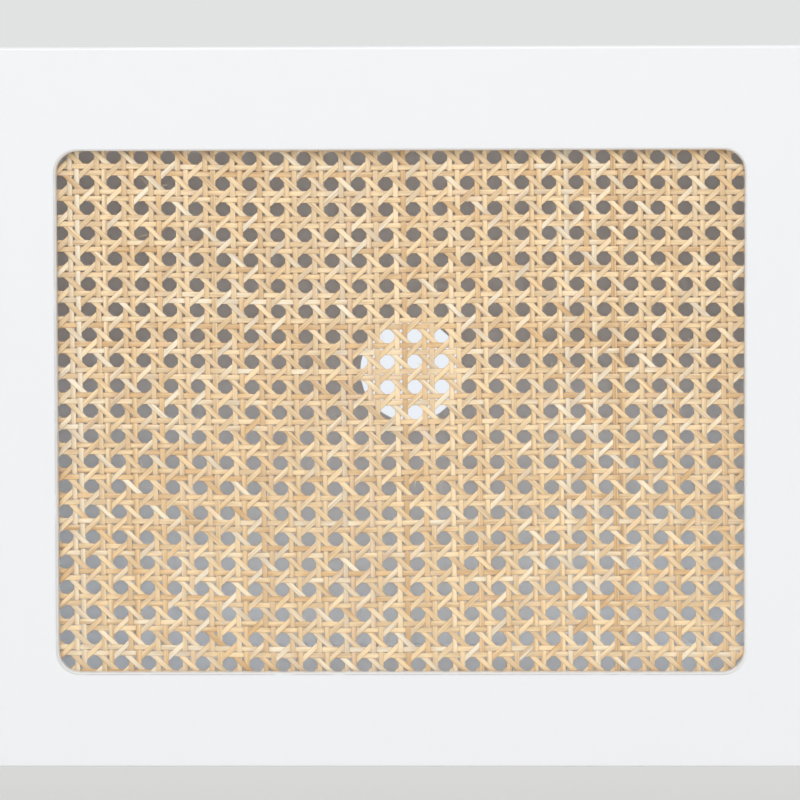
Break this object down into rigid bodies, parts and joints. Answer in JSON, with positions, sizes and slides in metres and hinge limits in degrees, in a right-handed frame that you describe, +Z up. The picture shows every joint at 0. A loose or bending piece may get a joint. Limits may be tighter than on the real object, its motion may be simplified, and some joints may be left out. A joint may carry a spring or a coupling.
{
  "type": "tv stand",
  "caption": "Low white lacquered TV stand on turned wooden legs, with push-open doors whose rounded windows hold cane webbing, and a round cable hole behind each compartment.",
  "frame": {"origin": "on the floor, under the middle of the stand's box", "axes": "+X along the stand's width to the right of someone facing the doors, +Y from the doors to the back, +Z up"},
  "size_m": [1.3, 0.401, 0.496],
  "materials": {
    "white_lacquer": "satin white lacquer on fibreboard",
    "white_board": "matt white foil on fibreboard",
    "cane": "natural woven cane",
    "beech": "oiled light wood",
    "nickel": "nickel plated",
    "steel": "zinc plated",
    "white_plastic": "moulded"
  },
  "bodies": {
    "carcass": {"top_panel": "white_lacquer", "bottom_panel": "white_lacquer", "left_side_panel": "white_lacquer", "right_side_panel": "white_lacquer", "left_divider": "white_lacquer", "right_divider": "white_lacquer", "left_back_panel": "white_board", "middle_back_panel": "white_board", "right_back_panel": "white_board", "left_front_leg": "beech", "right_front_leg": "beech", "left_back_leg": "beech", "right_back_leg": "beech", "left_front_leg_plate": "steel", "right_front_leg_plate": "steel", "left_back_leg_plate": "steel", "right_back_leg_plate": "steel", "left_door_upper_hinge_arm": "nickel", "left_door_upper_hinge_plate": "nickel", "left_door_lower_hinge_arm": "nickel", "left_door_lower_hinge_plate": "nickel", "middle_door_upper_hinge_arm": "nickel", "middle_door_upper_hinge_plate": "nickel", "middle_door_lower_hinge_arm": "nickel", "middle_door_lower_hinge_plate": "nickel", "right_door_upper_hinge_arm": "nickel", "right_door_upper_hinge_plate": "nickel", "right_door_lower_hinge_arm": "nickel", "right_door_lower_hinge_plate": "nickel", "left_door_latch_housing": "white_plastic", "middle_door_latch_housing": "white_plastic", "right_door_latch_housing": "white_plastic"},
    "left_door": {"left_door_frame": "white_lacquer", "left_door_cane": "cane", "left_door_cane_retainer": "white_board", "left_door_strike_plate": "steel", "left_door_upper_hinge_cup": "nickel", "left_door_upper_hinge_pin": "steel", "left_door_lower_hinge_cup": "nickel", "left_door_lower_hinge_pin": "steel"},
    "middle_door": {"middle_door_frame": "white_lacquer", "middle_door_cane": "cane", "middle_door_cane_retainer": "white_board", "middle_door_strike_plate": "steel", "middle_door_upper_hinge_cup": "nickel", "middle_door_upper_hinge_pin": "steel", "middle_door_lower_hinge_cup": "nickel", "middle_door_lower_hinge_pin": "steel"},
    "right_door": {"right_door_frame": "white_lacquer", "right_door_cane": "cane", "right_door_cane_retainer": "white_board", "right_door_strike_plate": "steel", "right_door_upper_hinge_cup": "nickel", "right_door_upper_hinge_pin": "steel", "right_door_lower_hinge_cup": "nickel", "right_door_lower_hinge_pin": "steel"},
    "left_latch_plunger": {"left_door_latch_plunger": "white_plastic"},
    "middle_latch_plunger": {"middle_door_latch_plunger": "white_plastic"},
    "right_latch_plunger": {"right_door_latch_plunger": "white_plastic"}
  },
  "joints": [
    {"name": "left_door_hinge", "type": "hinge", "parent": "carcass", "child": "left_door", "pos_m": [-0.641, -0.1915, 0.323], "axis": [0, 0, -1], "range_deg": [0, 95]},
    {"name": "middle_door_hinge", "type": "hinge", "parent": "carcass", "child": "middle_door", "pos_m": [-0.2065, -0.1915, 0.323], "axis": [0, 0, -1], "range_deg": [0, 95]},
    {"name": "right_door_hinge", "type": "hinge", "parent": "carcass", "child": "right_door", "pos_m": [0.641, -0.1915, 0.323], "axis": [0, 0, 1], "range_deg": [0, 95]},
    {"name": "left_latch_press", "type": "slide", "parent": "carcass", "child": "left_latch_plunger", "axis": [0, 1, 0], "range_m": [0, 0.003], "stiffness_N_per_m": 200, "springref_m": -0.002},
    {"name": "middle_latch_press", "type": "slide", "parent": "carcass", "child": "middle_latch_plunger", "axis": [0, 1, 0], "range_m": [0, 0.003], "stiffness_N_per_m": 200, "springref_m": -0.002},
    {"name": "right_latch_press", "type": "slide", "parent": "carcass", "child": "right_latch_plunger", "axis": [0, 1, 0], "range_m": [0, 0.003], "stiffness_N_per_m": 200, "springref_m": -0.002}
  ]
}
